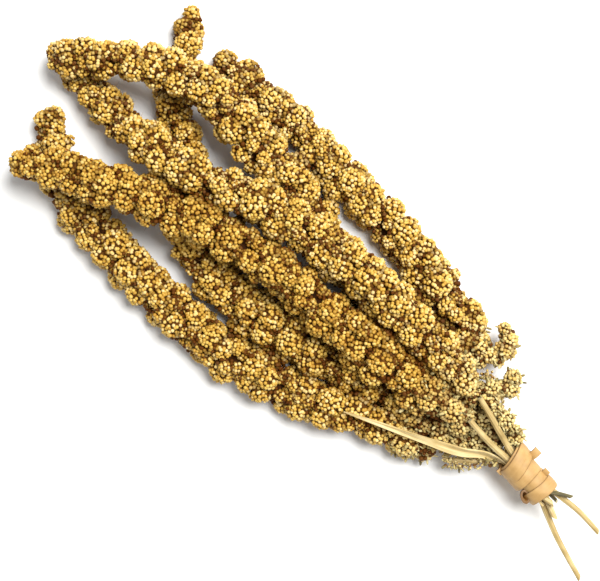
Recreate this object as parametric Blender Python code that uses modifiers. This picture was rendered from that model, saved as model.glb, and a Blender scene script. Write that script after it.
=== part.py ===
"""A tied bunch of dried foxtail millet, lying down: six seed heads, their stems, a leaf blade and a tie.

The bunch lies along X with its cut stems toward +X, and it rests on z = 0.
"""

import math

import bmesh
import bpy
import numpy as np
from mathutils import Matrix, Vector

MM = 0.001

# Middle line of each seed head in mm, from its tip to its base
HEAD_ROUTES = {
    "upper": [
        (-159.3, -1.5, 14.1), (-146, 5.6, 18), (-135.9, 14.5, 22), (-121.9, 22.5, 26),
        (-106.1, 30.7, 29), (-84.4, 32.2, 27), (-68.4, 30.2, 23), (-47.4, 28.7, 17), (-37.4, 25.7, 13.5),
        (-27.4, 21.7, 11), (-9.4, 18.2, 10.5), (7.6, 17.7, 10.5), (24.6, 17.2, 10.5), (39.6, 16.7, 10.5),
        (53.6, 15.7, 10), (65.6, 13.2, 10.5), (76.6, 10.7, 11), (86.6, 7.7, 12), (96.8, 6.1, 13),
    ],
    "middle": [
        (-150.8, -1.5, 7), (-137.4, 1.2, 9), (-123.4, 0.2, 12), (-109.4, -0.8, 17), (-96.4, -0.8, 23),
        (-86.4, 1.2, 26), (-74.4, 2.2, 27), (-65.4, 5.2, 27), (-43.4, 12.2, 27), (-21.4, 16.2, 27.5),
        (-5.4, 19, 28), (11.6, 18.2, 28), (28.6, 17.4, 27), (44.6, 17.2, 25.5), (58.6, 16.2, 23),
        (70.6, 13.2, 20.5), (79.6, 11.7, 19),
    ],
    "right": [
        (-106.8, 45.7, 7), (-87.4, 48.4, 7.5), (-75.4, 48.2, 8), (-63.4, 47.9, 8.5),
        (-37.4, 45.8, 8.5), (-24.4, 44.9, 8.5), (-1.4, 43, 8.5), (13.6, 41, 8.5), (25.6, 39.3, 8.5),
        (38.6, 36, 9.5), (49.6, 33, 11), (60.6, 28.8, 13), (69.6, 24, 14),
    ],
    "crossing": [
        (-127, 56.9, 7), (-117.6, 42.9, 7), (-111.4, 31.1, 8), (-104.2, 19.2, 8.5), (-91.2, 11.1, 8.5),
        (-80.4, 3, 9), (-73, -5.4, 9), (-64.4, -13.8, 9), (-52.4, -20.8, 9), (-39.4, -23.8, 9),
        (-23.4, -24.8, 9), (-6.4, -21.8, 9), (12.6, -17.8, 9), (30.6, -13.8, 9), (48.6, -11.8, 10),
        (63.6, -9.3, 10.5), (75.6, -5.8, 11), (85.6, -1, 12.5), (95.6, 2.6, 14.6),
    ],
    "left": [
        (-138.6, -44.8, 16.8), (-127.4, -37.8, 21), (-119.4, -32.8, 24), (-108.4, -27.8, 24.5),
        (-95.4, -21.8, 24.5), (-81.4, -16.8, 26), (-67.4, -11.8, 27), (-53.4, -7.8, 26.5), (-27.4, -2.8, 25),
        (-2.4, -2.8, 24), (17.6, -1.8, 24), (37.6, -1.8, 24), (55.6, 0.2, 23), (66.6, 1.2, 22),
        (74.6, 1.7, 20.5), (82.6, 2.7, 19),
    ],
    "lower": [
        (-145.7, -15.9, 7), (-136.4, -23.9, 7), (-126.4, -30.4, 7.5), (-115.4, -37.8, 8),
        (-102.4, -41.3, 8), (-87.4, -42.8, 8.5), (-73.4, -43.4, 9), (-62.4, -44.8, 9), (-49.4, -45.8, 9),
        (-37.4, -45.8, 9), (-17.4, -44.8, 9), (-4.4, -42.3, 9), (17.6, -36.8, 9), (29.6, -32, 9),
        (42.6, -25.2, 9.5), (54, -19.4, 9.5), (62, -17.8, 9.5), (70.6, -18.8, 10), (81.4, -16.4, 11),
    ],
}
# Loose side sprays near the bases: the head that each grows from, its radius and its middle line in mm
SIDE_SPRAYS = [
    ("right", 4.5, [(63.6, 28.2, 13.5), (69, 30.7, 14), (70.6, 34.7, 14), (68.6, 39.2, 14), (66, 41.7, 14)]),
    ("middle", 4.4, [(72.6, 14.2, 20.5), (77.6, 19.2, 20.5), (80.6, 23.7, 19), (81.6, 28.2, 17)]),
    ("middle", 3, [(75.6, 14.2, 20.8), (82.6, 15.2, 20.5), (89.6, 14.2, 20), (97.4, 12, 19)]),
]
HEAD_RADIUS = 11.1
# How thick each head is next to the others near its tip and further on
HEAD_GIRTH = {
    "upper": (0.94, 0.95), "middle": (0.94, 0.94), "right": (0.84, 0.9), "crossing": (0.84, 1),
    "left": (1.03, 1), "lower": (1.04, 0.98),
}
GIRTH_SHARES = [0.05, 0.4]
# How thick a head is at these shares of the way from its tip to its base
HEAD_SHARES = [0, 0.07, 0.3, 0.75, 0.92, 1]
HEAD_PROFILE = [0.6, 0.74, 0.96, 1, 0.9, 0.62]
LOBES_ROUND = 5
RING_TURN = math.radians(43)
LOBE_LENGTH = 1.08
LOBE_SHAKE = 0.15
FIRST_RING = 0.8
LOBE_RISE = (0.42, 0.6)
LOBE_SHOULDER = 0.19
LOBE_CROWN = 0.3
ROOT_DEPTH = 0.76
HEAD_GAP = 0.8
SEED = 7

# The stems and the leaf blade run side by side through the tie, one in the middle and the others round it
TIE_MIDDLE = Vector((113.1, 2.9, 16))
TIE_TURN = math.radians(-5)
TIE_LENGTH = 20
TIE_BORE = 4.9
# The band's turns: radius, width, place along the stems and aside, then how each leans and swings, in degrees
TIE_TURNS = [
    (7.8, 8, -7.7, 0.1, 5, 13),
    (7.3, 6.4, -1.9, -0.7, -3, 1),
    (6.6, 4.8, 2.8, 0.4, 3, -1),
    (6.7, 6, 7.2, 0, -3, -3),
]
# Its loose ends: place along, aside and up, size, and how far each is rolled over in degrees
TIE_FLAPS = [
    (-6.2, 8.2, 3.2, (3.6, 5, 0.9), 20),
    (2.6, 6.1, 3.2, (3, 3.4, 0.9), 35),
]
# The slack loop that stands out of its lower side: place along, aside and up, size, and its turn in degrees
TIE_LOOP = (4.6, -6.9, 0, (6, 4, 6), -30)
STEM_RADIUS = 1.25
STEM_SPACING = 3.15
STEM_START = 0.9
STEM_BERTH = 3.6
# Each stem's place round the middle of the tie in degrees, and the points that it passes beyond the tie
STEM_WAYS = {
    "right": (0, [(138.6, 6.2, 14), (151.6, 5.2, 11)]),
    "middle": (60, [(131.6, 8.2, 18)]),
    "left": (120, [(128.6, 0.2, 19.5)]),
    "lower": (240, [(140.6, -8.3, 11.5), (159.6, -14.8, 9)]),
    "upper": (300, [(129.6, 3.2, 12.5)]),
    "crossing": (None, [(132.6, -2.6, 15.6)]),
}
LEAF_ROUTE = [
    (36.6, -28.8, 20), (50.6, -22.8, 21.5), (67.6, -15.8, 21), (83.6, -8.8, 19), (92.6, -2.8, 17),
    (100.6, 0.2, 16), (107.6, -0.2, 16), (116.6, -1, 16), (125.6, -1.8, 16),
]
LEAF_WIDTH = 3.8
LEAF_THICKNESS = 0.8
# The blade's width as a share of the full one, and how far it is rolled over in degrees, from its tip
LEAF_TAPER = ([0, 0.25, 0.5, 1], [0.25, 0.6, 1, 0.95])
LEAF_TWIST = ([0, 0.5, 0.66, 0.78], [15, 20, 35, 90])


def clear_scene():
    for thing in list(bpy.data.objects):
        bpy.data.objects.remove(thing)


def smooth_route(points, steps=8):
    """Points along a smooth curve that passes through the given ones, as an array"""
    given = np.array(points, float)
    ends = 2 * given[0] - given[1], 2 * given[-1] - given[-2]
    given = np.vstack([ends[0], given, ends[1]])
    route = []
    for before, start, end, after in zip(given, given[1:], given[2:], given[3:]):
        for share in np.arange(steps) / steps:
            bend = 2 * before - 5 * start + 4 * end - after
            twist = 3 * start - before - 3 * end + after
            route.append(start + 0.5 * share * (end - before + share * (bend + share * twist)))
    return np.array(route + [given[-2]])


def distances_along(route):
    return np.concatenate([[0], np.cumsum(np.linalg.norm(np.diff(route, axis=0), axis=1))])


class Rail:
    """A middle line with a sideways and an upward direction at every place along it"""

    def __init__(self, points, girth=(1, 1)):
        self.girth = girth
        self.route = smooth_route(points)
        self.along = distances_along(self.route)
        self.length = self.along[-1]

    def at(self, distance):
        return Vector([np.interp(distance, self.along, axis) for axis in self.route.T])

    def frame(self, distance):
        ahead = (self.at(min(distance + 1, self.length)) - self.at(max(distance - 1, 0))).normalized()
        side = Vector((0, 0, 1)).cross(ahead).normalized()
        return ahead, side, ahead.cross(side)

    def head_radius(self, distance):
        """Radius of a head over its lobes at this distance from its tip"""
        share = distance / self.length
        girth = np.interp(share, GIRTH_SHARES, self.girth)
        return HEAD_RADIUS * float(girth * np.interp(share, HEAD_SHARES, HEAD_PROFILE))


def ring_distances(rail):
    """Where the rings of lobes lie along a head: closer together where the head is thin"""
    rings = [FIRST_RING * rail.head_radius(0)]
    while rings[-1] < rail.length:
        rings.append(rings[-1] + LOBE_LENGTH * rail.head_radius(rings[-1]))
    return rings[:-1]


def lobe_net(rail, draw):
    """A closed net round the head with one corner for each lobe, and one for each end"""
    rings = ring_distances(rail)
    net = bmesh.new()
    bmesh.ops.create_uvsphere(net, u_segments=LOBES_ROUND, v_segments=len(rings) + 1, radius=1)
    for corner in net.verts:
        ring = round(math.acos(max(-1, min(1, corner.co.z))) / math.pi * (len(rings) + 1))
        if ring == 0:
            corner.co = rail.at(0)
        elif ring > len(rings):
            corner.co = rail.at(rail.length)
        else:
            shake = [float(amount) for amount in draw.uniform(-LOBE_SHAKE, LOBE_SHAKE, 3)]
            distance = rings[ring - 1]
            radius = rail.head_radius(distance)
            turn = math.atan2(corner.co.y, corner.co.x) + ring * RING_TURN + shake[0]
            distance += shake[1] * radius
            ahead, side, up = rail.frame(distance)
            reach = ROOT_DEPTH * radius * (1 + 0.5 * shake[2])
            corner.co = rail.at(distance) + reach * (math.cos(turn) * side + math.sin(turn) * up)
    bmesh.ops.triangulate(net, faces=net.faces, quad_method="SHORT_EDGE")
    return net


def cells_round_corners(net):
    """One many-sided face round each corner of the net, which is the foot of one lobe"""
    cells = bmesh.new()
    middles = {face: cells.verts.new(face.calc_center_median()) for face in net.faces}
    for corner in net.verts:
        spoke = corner.link_loops[0]
        outline = []
        while len(outline) < len(corner.link_loops):
            outline.append(middles[spoke.face])
            spoke = spoke.link_loop_prev.link_loop_radial_next
        cells.faces.new(outline)
    bmesh.ops.recalc_face_normals(cells, faces=cells.faces)
    return cells


def raise_lobes(cells, draw):
    """Turns each cell into a rounded lobe that stands out of the head"""
    for foot in list(cells.faces):
        size = math.sqrt(foot.calc_area() / math.pi)
        rise = size * draw.uniform(*LOBE_RISE)
        bmesh.ops.inset_individual(cells, faces=[foot], thickness=LOBE_SHOULDER * size, depth=rise)
        bmesh.ops.poke(cells, faces=[foot], offset=LOBE_CROWN * size)


def limit_beside_heads(middle, outward, heads):
    """How far a head may reach from its middle line and stay nearer to it than to the other heads' lines"""
    toward = heads - middle
    lean = toward @ outward + HEAD_GAP
    room = (toward**2).sum(axis=1) - HEAD_GAP**2
    return (room[lean > 0] / (2 * lean[lean > 0])).min(initial=1000)


def limit_beside_stems(middle, outward, stems):
    """How far a head may reach from its middle line before it comes close to a stem or the leaf"""
    toward = stems - middle
    along = toward @ outward
    across = (toward**2).sum(axis=1) - along**2
    in_the_way = (along > 0) & (across < STEM_BERTH**2)
    return (along[in_the_way] - np.sqrt(STEM_BERTH**2 - across[in_the_way])).min(initial=1000)


def press_flat(head, rail, heads, stems):
    """Pulls in what would cross a neighbour, as heads press into each other, and squares off the base"""
    end = np.array(rail.at(rail.length))
    ahead = np.array(rail.frame(rail.length)[0])
    for point in head.verts:
        spot = np.array(point.co)
        middle = rail.route[((rail.route - spot) ** 2).sum(axis=1).argmin()]
        reach = np.linalg.norm(spot - middle)
        outward = (spot - middle) / reach
        limit = min(limit_beside_heads(middle, outward, heads), limit_beside_stems(middle, outward, stems))
        spot = middle + outward * min(reach, max(limit, 1))
        point.co = spot - ahead * max(0, (spot - end) @ ahead)


def cut_at_floor(head):
    """The lobes underneath are flattened by the surface that they lie on"""
    everything = head.verts[:] + head.edges[:] + head.faces[:]
    bmesh.ops.bisect_plane(head, geom=everything, plane_co=(0, 0, 0), plane_no=(0, 0, 1), clear_inner=True)
    bmesh.ops.holes_fill(head, edges=[edge for edge in head.edges if edge.is_boundary])


def mesh_object(name, mesh, material, collection):
    data = bpy.data.meshes.new(name)
    mesh.to_mesh(data)
    mesh.free()
    data.materials.append(material)
    thing = bpy.data.objects.new(name, data)
    collection.objects.link(thing)
    return thing


def plain_material(name, colour, roughness):
    material = bpy.data.materials.new(name)
    material.use_nodes = True
    shader = material.node_tree.nodes["Principled BSDF"]
    shader.inputs["Base Color"].default_value = (*colour, 1)
    shader.inputs["Roughness"].default_value = roughness
    return material


def join_all(thing, helpers):
    """Fuses every object of the helpers' collection to the thing, and removes them"""
    fuse = thing.modifiers.new("join", "BOOLEAN")
    fuse.operation = "UNION"
    fuse.operand_type = "COLLECTION"
    fuse.collection = helpers
    apply_modifiers(thing)
    for helper in list(helpers.objects):
        bpy.data.objects.remove(helper)


def apply_modifiers(thing):
    graph = bpy.context.evaluated_depsgraph_get()
    thing.data = bpy.data.meshes.new_from_object(thing.evaluated_get(graph))
    thing.modifiers.clear()


def add_side_spray(head, radius, points, helpers, material):
    way = Rail(points)
    for distance in np.linspace(0, way.length, math.ceil(way.length / radius) + 1):
        ball = bmesh.new()
        bmesh.ops.create_icosphere(ball, subdivisions=1, radius=radius)
        ball.transform(Matrix.Scale(MM, 4) @ Matrix.Translation(way.at(distance)))
        mesh_object("spray_ball", ball, material, helpers)
    join_all(head, helpers)


def seed_head(name, rails, ways, material, collection):
    draw = np.random.default_rng([SEED, list(rails).index(name)])
    net = lobe_net(rails[name], draw)
    head = cells_round_corners(net)
    net.free()
    raise_lobes(head, draw)
    heads = np.vstack([rail.route for other, rail in rails.items() if other != name])
    stems = np.vstack([way.route for other, way in ways.items() if other != name])
    press_flat(head, rails[name], heads, stems)
    head.transform(Matrix.Scale(MM, 4))
    cut_at_floor(head)
    bmesh.ops.recalc_face_normals(head, faces=head.faces)
    return mesh_object(name + "_head", head, material, collection)


def tie_place(along, side, up):
    """A place in the tie's own directions, in mm: along the stems, to their left, and up"""
    return TIE_MIDDLE + Matrix.Rotation(TIE_TURN, 3, "Z") @ Vector((along, side, up))


def stem_way(name, rail):
    """A stem's middle line, from the base of its head through the tie to its cut end"""
    degrees, beyond = STEM_WAYS[name]
    spacing = 0 if degrees is None else STEM_SPACING
    side = spacing * math.cos(math.radians(degrees or 0))
    up = spacing * math.sin(math.radians(degrees or 0))
    start = rail.at(rail.length) + rail.frame(rail.length)[0] * STEM_START
    inside = [tie_place(share * TIE_LENGTH, side, up) for share in (-0.6, -0.3, 0, 0.3, 0.6)]
    approach = [start, start.lerp(inside[0], 0.4), start.lerp(inside[0], 0.75)]
    return Rail([tuple(place) for place in approach + inside] + beyond)


def stem(name, way, material, collection):
    curve = bpy.data.curves.new(name + "_stem", "CURVE")
    curve.dimensions = "3D"
    curve.bevel_depth = STEM_RADIUS * MM
    curve.bevel_resolution = 2
    curve.use_fill_caps = True
    spline = curve.splines.new("POLY")
    places = np.linspace(0, way.length, max(6, round(way.length / 6)))
    spline.points.add(len(places) - 1)
    for point, distance in zip(spline.points, places):
        point.co = (*way.at(distance) * MM, 1)
    curve.materials.append(material)
    thing = bpy.data.objects.new(name + "_stem", curve)
    collection.objects.link(thing)


def leaf_blade(way, material, collection):
    """A dry blade: flat and narrow at its free tip, and on edge where the tie holds it"""
    places = np.linspace(0, way.length, 24)
    blade = bmesh.new()
    bmesh.ops.create_grid(blade, x_segments=2, y_segments=len(places) - 1, size=1)
    for point in blade.verts:
        share = (point.co.y + 1) / 2
        distance = share * way.length
        ahead, side, up = way.frame(distance)
        turn = math.radians(float(np.interp(share, *LEAF_TWIST)))
        half = LEAF_WIDTH / 2 * float(np.interp(share, *LEAF_TAPER))
        across = math.cos(turn) * side + math.sin(turn) * up
        point.co = (way.at(distance) + point.co.x * half * across) * MM
    thing = mesh_object("leaf_blade", blade, material, collection)
    thickness = thing.modifiers.new("thickness", "SOLIDIFY")
    thickness.thickness = LEAF_THICKNESS * MM
    thickness.offset = 0


def tie_direction(turn):
    """A turn in degrees about the upward axis, on top of the tie's own"""
    return Matrix.Rotation(TIE_TURN + math.radians(turn), 4, "Z")


def solid_round(radius, length, along, side, lean, swing):
    """A round disc about the stems, leaning over by two angles in degrees"""
    disc = bmesh.new()
    bmesh.ops.create_cone(disc, cap_ends=True, segments=28, radius1=radius, radius2=radius, depth=length)
    upright = Matrix.Rotation(math.radians(90 + lean), 4, "Y")
    place = Matrix.Translation(tie_place(along, side, 0))
    disc.transform(Matrix.Scale(MM, 4) @ place @ tie_direction(swing) @ upright)
    return disc


def loose_flap(along, side, up, size, roll):
    """A loose end of the band: a small flat plate that stands out of the tie"""
    flap = bmesh.new()
    bmesh.ops.create_cube(flap, size=1)
    shape = Matrix.Rotation(math.radians(roll), 4, "X") @ Matrix.Diagonal((*size, 1))
    place = Matrix.Translation(tie_place(along, side, up))
    flap.transform(Matrix.Scale(MM, 4) @ place @ tie_direction(0) @ shape)
    return flap


def slack_loop(along, side, up, size, turn):
    """The oval loop where the band turns back, standing on edge"""
    loop = bmesh.new()
    bmesh.ops.create_cone(loop, cap_ends=True, segments=20, radius1=0.5, radius2=0.5, depth=1)
    place = Matrix.Translation(tie_place(along, side, up))
    loop.transform(Matrix.Scale(MM, 4) @ place @ tie_direction(turn) @ Matrix.Diagonal((*size, 1)))
    return loop


def tie(material, collection, helpers, cutters):
    """A flat band wound round the stems, with a slack loop and its ends tucked in"""
    first, *others = [solid_round(*turn) for turn in TIE_TURNS]
    thing = mesh_object("tie", first, material, collection)
    for turn in others:
        mesh_object("turn", turn, material, helpers)
    for flap in TIE_FLAPS:
        mesh_object("flap", loose_flap(*flap), material, helpers)
    mesh_object("loop", slack_loop(*TIE_LOOP), material, helpers)
    join_all(thing, helpers)
    bore = mesh_object("tie_bore", solid_round(TIE_BORE, 2 * TIE_LENGTH, 0, 0, 0, 0), material, cutters)
    bore.hide_render = True
    bore.display_type = "WIRE"
    cut = thing.modifiers.new("bore", "BOOLEAN")
    cut.operation = "DIFFERENCE"
    cut.object = bore


def new_collection(name):
    collection = bpy.data.collections.new(name)
    bpy.context.scene.collection.children.link(collection)
    return collection


def main():
    clear_scene()
    bunch = new_collection("millet_bunch")
    helpers = new_collection("helpers")
    cutters = new_collection("cutters")
    husk = plain_material("dry millet seed", (0.4, 0.2, 0.05), 0.7)
    straw = plain_material("dry straw", (0.75, 0.55, 0.26), 0.55)
    band = plain_material("tan band", (0.72, 0.45, 0.2), 0.6)
    rails = {name: Rail(points, HEAD_GIRTH[name]) for name, points in HEAD_ROUTES.items()}
    ways = {name: stem_way(name, rail) for name, rail in rails.items()}
    ways["leaf"] = Rail(LEAF_ROUTE)
    heads = {name: seed_head(name, rails, ways, husk, bunch) for name in rails}
    for name, radius, points in SIDE_SPRAYS:
        add_side_spray(heads[name], radius, points, helpers, husk)
    for name in rails:
        stem(name, ways[name], straw, bunch)
    leaf_blade(ways["leaf"], straw, bunch)
    tie(band, bunch, helpers, cutters)


main()
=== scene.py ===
"""Looks of a tied bunch of dried foxtail millet that lies on a white surface, built round its CAD frame."""

import math

import bmesh
import bpy
import numpy as np
from mathutils import Euler, Matrix, Vector
from mathutils.bvhtree import BVHTree


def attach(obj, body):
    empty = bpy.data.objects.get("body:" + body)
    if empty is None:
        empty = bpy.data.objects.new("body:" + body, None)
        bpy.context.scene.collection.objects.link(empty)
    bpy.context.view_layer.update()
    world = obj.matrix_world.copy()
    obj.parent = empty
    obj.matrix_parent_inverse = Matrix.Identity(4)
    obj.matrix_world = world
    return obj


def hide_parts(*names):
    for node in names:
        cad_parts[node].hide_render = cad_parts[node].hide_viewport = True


MM = 0.001
SEED = 11
HEADS = ("upper", "middle", "right", "crossing", "left", "lower")

# A head is a heap of round lobes, each covered with seeds that stand a little apart, in mm.
# Lobes are larger where the head is thick: half its thickness, and the radius there
HALF_LIMITS = (3.4, 10.0)
HALF_THICKNESS = (3.4, 6, 9)
LOBE_RADIUS = (3.4, 4.7, 5.8)
LOBE_SPREAD = (0.82, 1.18)
LOBE_APART = 0.84
LOBE_LIFT = (-0.2, 1)
THIN_LIFT = 1
THIN_HALVES = ([4, 6], [1, 0])
SEATS_APART = 1.7
SEAT_SHUFFLE = 0.8
RAY_START = 0.1
SMALL_RADIUS = (2.5, 3.5)
SMALL_LIFT = (-2, -0.9)
SMALL_GAP = 1.1
# Seeds painted dark as shade line the head deep between the lobes: how deep, how far apart, how dark and how
# large
BED_DEPTH = 2.5
BED_SPACING = 1.6
BED_OVERLAP = 0.2
BED_CREASE = (0.85, 1)
BED_SIZE = (0.8, 1)
# Seeds on the lobes, and how they are set: smaller and closer on small balls, and never fewer than this
SEED_SPACING = 1.62
SMALL_BALLS = ([1.5, 3], [0.86, 1])
FEWEST_SEEDS = 8
HEXAGON_SHARE = 0.866
SEED_RISE = (-0.3, 0.25)
SEED_RADIUS = 0.92
SEED_LENGTH = 1.12
SEED_SPREAD = (0.9, 1.1)
SEED_SHAKE = 0.26
SHAKEN_BALL = 4.5
# A seed is left out where it is in another lobe, too deep, or hidden from this many sides by lobes this near
SEED_CLEAR = 0.05
SEED_DEEPEST = 3.6
SEED_VIEWS = 64
SEED_COVER = 0.3
NEIGHBOUR_REACH = 25
FAR_OFF = 100
# Seeds are painted dark as shade this close to another lobe, and from this depth on over this much more
CREASE_WIDTH = 1.7
CREASE_DEPTH = (1.5, 2)
# Between two heads that lie side by side the lobes keep back, lower ones close the gap, and seeds are painted
# dark as shade
FACING_REACH = 8
FACING_UPSIDE = -0.1
FACING_SINK = 2
FACING_BULGE = (1.2, 4)
FACING_DARK = 5
CHAFF_DEPTH = 0.4
# Seeds with more painted shade or facing further down than this have a plainer shape
PLAIN_CREASE = 0.8
PLAIN_FACING = -0.3
# Underneath, this share of the seeds is left out and the others are larger
UNDER_SPARED = 0.45
UNDER_SIZE = 1.25
# Nothing on a head may stand higher than this
TOP = 39.1
CORE_DEPTH = 3.2
HAIR_CHANCE = 0.06
HAIR_LENGTH = (2, 4.5)
HAIR_LEAN = 0.45
HAIR_WIDTH = 0.022
LOWEST_TIP = 0.3
# Seeds give way to pale open husks from here on towards the base, in mm along the bunch
PALE_FROM = 48
PALE_OVER = 42
PALE_SPREAD = (0.3, 1)
HUSK_CHANCE = 0.3
HUSK_LENGTH = (1.8, 3.2)
HUSK_LEAN = 0.5
# Poor seeds stay round the bare stems up to here, this far from the middle of the stem and one at each step
FLORETS_END = 100.5
FLORET_STEP = 0.16
FLORET_REACH = (1.5, 3.4)
FLORET_LEAN = (-0.6, 0.2)
FLORET_CREASE = (0, 0.7)
FLORET_SIZE = (0.5, 0.75)
BURIED_STEMS = ("middle", "left")
# How light the seeds of each head are, on top of their own spread
HEAD_TONES = {"upper": 0.08, "middle": 0.06, "right": 0.14, "crossing": -0.05, "left": -0.16, "lower": 0.02}

TIE_MIDDLE = Vector((113.1, 2.9, 16))
TIE_TURN = math.radians(-5)
TIE_LENGTH = 20
# The turns of the band in mm and degrees: radius, width, place along, place aside, lean, swing
TIE_TURNS = [
    (6.8, 5, -10.1, 0.1, 5, 15),
    (8, 7.4, -8.2, 0.1, 5, 13),
    (7.2, 6.6, -2.2, -0.7, -3, 1),
    (6.2, 5, 2.8, 0.4, 3, -1),
    (7.1, 5.6, 7.4, -0.1, -3, -3),
]
BAND_THICKNESS = 0.9
# The band starts at this angle in degrees, and passes to its next turn over the last share of each turn
BAND_START = -40
PASSING_FROM = 0.72
PASSING_OVER = 0.28
# A crease in the second turn: its depth, its place across the band and its width as shares of the band
CREASED_TURN = 1
BAND_CREASE = (0.28, 0.7, 0.05)
# Its loose ends: place along, aside and up, length, width, and how far each is rolled over in degrees
TIE_FLAPS = [
    (-6.2, 8.2, 3.2, 3.6, 5, 20),
    (2.6, 6.1, 3.2, 3, 3.4, 35),
    (-10, -7.2, 0.5, 2.8, 2.4, -25),
]
# The slack loop: place along, aside and up, its length, width and height, and its turn in degrees
TIE_LOOP = (4.6, -6.9, 0, 6, 4, 6, -30)

STEM_RADIUS = 1.3
STEM_SPACING = 3.15
STEM_TAPER = ([0, 0.15, 0.6, 1], [0.85, 1, 1, 0.82])
# Where in the tie each stem's way is fixed, as shares of the tie's length
STEM_HOLDS = (-0.6, -0.3, 0, 0.3, 0.48)
# The slanted cut takes the last share of a stem
CUT_FROM = 0.97
CUT_OVER = 0.03
# Each stem: its first points behind the tie, its place round the tie's middle in degrees, and its way beyond
STEM_WAYS = {
    "right": ([(70.5, 23.6, 14.1), (81.5, 17.1, 15)], 0, [(138.6, 6.2, 14), (151.6, 5.2, 11)]),
    "middle": ([(74.5, 13.6, 24.6), (83, 11, 22.6), (92, 8.2, 20.2)], 60, [(126.4, 5.9, 18.4), (131.6, 8.5, 18)]),
    "left": ([(77.5, 3.8, 24.8), (86, 2.8, 22.4), (94, 2.3, 20)], 120, [(127.6, 1.2, 19.2)]),
    "lower": (
        [(82.2, -16, 11.2), (91, -8.6, 12.3)], 240,
        [(127.6, -2.3, 12.8), (140.6, -8.3, 11.5), (159.6, -14.8, 9)],
    ),
    "upper": ([(97.6, 6, 13.1), (99.4, 5.8, 13.2)], 300, [(129.6, 3.2, 12.5)]),
    "crossing": ([(96.4, 2.7, 14.8), (98.8, 3.4, 15.5)], None, [(132.6, -2.6, 15.6)]),
}
# Two stems are thinner and dark olive beyond the tie; on the upper stem that dark is painted shade
DARK_STEMS = ("middle", "upper")
DARK_FROM = 117
DARK_TAPER = ([0.6, 0.8], [1, 0.72])
LEAF_ROUTE = [
    (36.6, -28.8, 20), (50.6, -22.8, 21.5), (67.6, -15.8, 21), (83.6, -8.8, 19), (92.6, -2.8, 17),
    (100.6, 0.2, 16), (107.6, -0.2, 16), (116.6, -1, 16), (125.6, -1.8, 16),
]
LEAF_WIDTH = 4
LEAF_THICKNESS = 0.7
LEAF_TAPER = ([0, 0.03, 0.25, 0.5, 1], [0.06, 0.2, 0.6, 1, 0.95])
LEAF_TWIST = ([0, 0.5, 0.66, 0.78], [15, 20, 35, 90])
LEAF_FOLD = 0.28
LEAF_CURL = 0.12

# Real sizes of the flecks, blotches, pores and clouds in the materials, in mm
FLECK_SIZE = 1.1111
BLOTCH_SIZE = 6.25
PORE_SIZE = 0.2857
CLOUD_SIZE = 3.846
# Fibres round a straw of 8 mm and across a leaf of 4 mm, so that they are a third and a quarter of a mm wide
STRAW_FIBRES = 22
LEAF_FIBRES = 16

CAMERA_PLACE = Vector((-11, -3.3, 620))
CAMERA_TURN = math.radians(42)
CAMERA_LENS = 86.0
# The soft window in m and W, and the room's light
TABLE_SIZE = 8
WINDOW_PLACE = (0.06, 0.55, 1.2)
WINDOW_SIZE = 0.8
WINDOW_POWER = 32
ROOM_LIGHT = 0.39


def colour(code):
    """An sRGB hex value as linear red, green, blue and alpha"""
    parts = [int(code[place:place + 2], 16) / 255 for place in (0, 2, 4)]
    return (*[part / 12.92 if part <= 0.04045 else ((part + 0.055) / 1.055) ** 2.4 for part in parts], 1)


def add_node(tree, kind, settings, inputs):
    """Adds one node: settings are its options, inputs are values or other nodes' outputs for its sockets"""
    made = tree.nodes.new(kind)
    for option, value in settings.items():
        if option == "stops":
            ramp = made.color_ramp.elements
            while len(ramp) < len(value):
                ramp.new(0.5)
            for stop, (place, code) in zip(ramp, value):
                stop.position = place
                stop.color = colour(code)
        else:
            setattr(made, option, value)
    for socket, value in inputs.items():
        if isinstance(value, bpy.types.NodeSocket):
            tree.links.new(value, made.inputs[socket])
        else:
            made.inputs[socket].default_value = value
    return made


def scale_for(size):
    """The scale of a pattern on Object coordinates whose details have this size in mm"""
    return 1 / (size * MM)


def new_material(name):
    """A new material with its node tree and its shader"""
    material = bpy.data.materials.new(name)
    material.use_nodes = True
    tree = material.node_tree
    return material, tree, tree.nodes["Principled BSDF"]


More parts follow.
